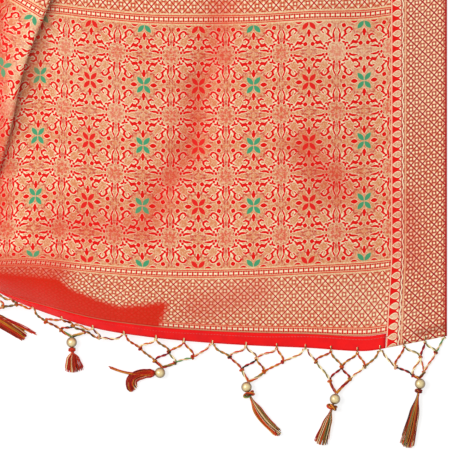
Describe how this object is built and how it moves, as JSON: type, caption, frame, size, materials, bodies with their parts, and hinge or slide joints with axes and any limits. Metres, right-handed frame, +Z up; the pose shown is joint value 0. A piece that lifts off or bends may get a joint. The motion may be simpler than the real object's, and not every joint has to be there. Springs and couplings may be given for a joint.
{
  "type": "saree",
  "caption": "Brocade saree laid flat with its patterned, fringed end spread over the folded rest of the cloth.",
  "frame": {"origin": "middle of the whole outline, on the surface the saree lies on", "axes": "+Z up from the surface, +Y from the fringed hem towards the back fold, +X towards the right selvedge"},
  "size_m": [1.0322, 0.9274, 0.093],
  "materials": {
    "zari_brocade": "gold zari brocade on red silk, satin sheen",
    "red_silk": "plain red silk, soft sheen",
    "fringe_thread": "twisted thread in gold, red and green",
    "gilt_bead": "pale gilt, worn satin"
  },
  "bodies": {
    "root": {"pallu": "zari_brocade", "body_stretch": "red_silk", "pallu_hem": "red_silk", "folded_body": "red_silk", "net_01": "fringe_thread", "bead_01": "gilt_bead", "tassel_01": "fringe_thread", "net_02": "fringe_thread", "bead_02": "gilt_bead", "tassel_02": "fringe_thread", "net_03": "fringe_thread", "bead_03": "gilt_bead", "tassel_03": "fringe_thread", "net_04": "fringe_thread", "bead_04": "gilt_bead", "tassel_04": "fringe_thread", "net_05": "fringe_thread", "bead_05": "gilt_bead", "tassel_05": "fringe_thread", "net_06": "fringe_thread", "bead_06": "gilt_bead", "tassel_06": "fringe_thread", "net_07": "fringe_thread", "bead_07": "gilt_bead", "tassel_07": "fringe_thread", "net_08": "fringe_thread", "bead_08": "gilt_bead", "tassel_08": "fringe_thread", "net_09": "fringe_thread", "bead_09": "gilt_bead", "tassel_09": "fringe_thread", "net_10": "fringe_thread", "bead_10": "gilt_bead", "tassel_10": "fringe_thread", "net_11": "fringe_thread", "bead_11": "gilt_bead", "tassel_11": "fringe_thread", "net_12": "fringe_thread", "bead_12": "gilt_bead", "tassel_12": "fringe_thread", "net_13": "fringe_thread", "bead_13": "gilt_bead", "tassel_13": "fringe_thread"}
  },
  "joints": []
}
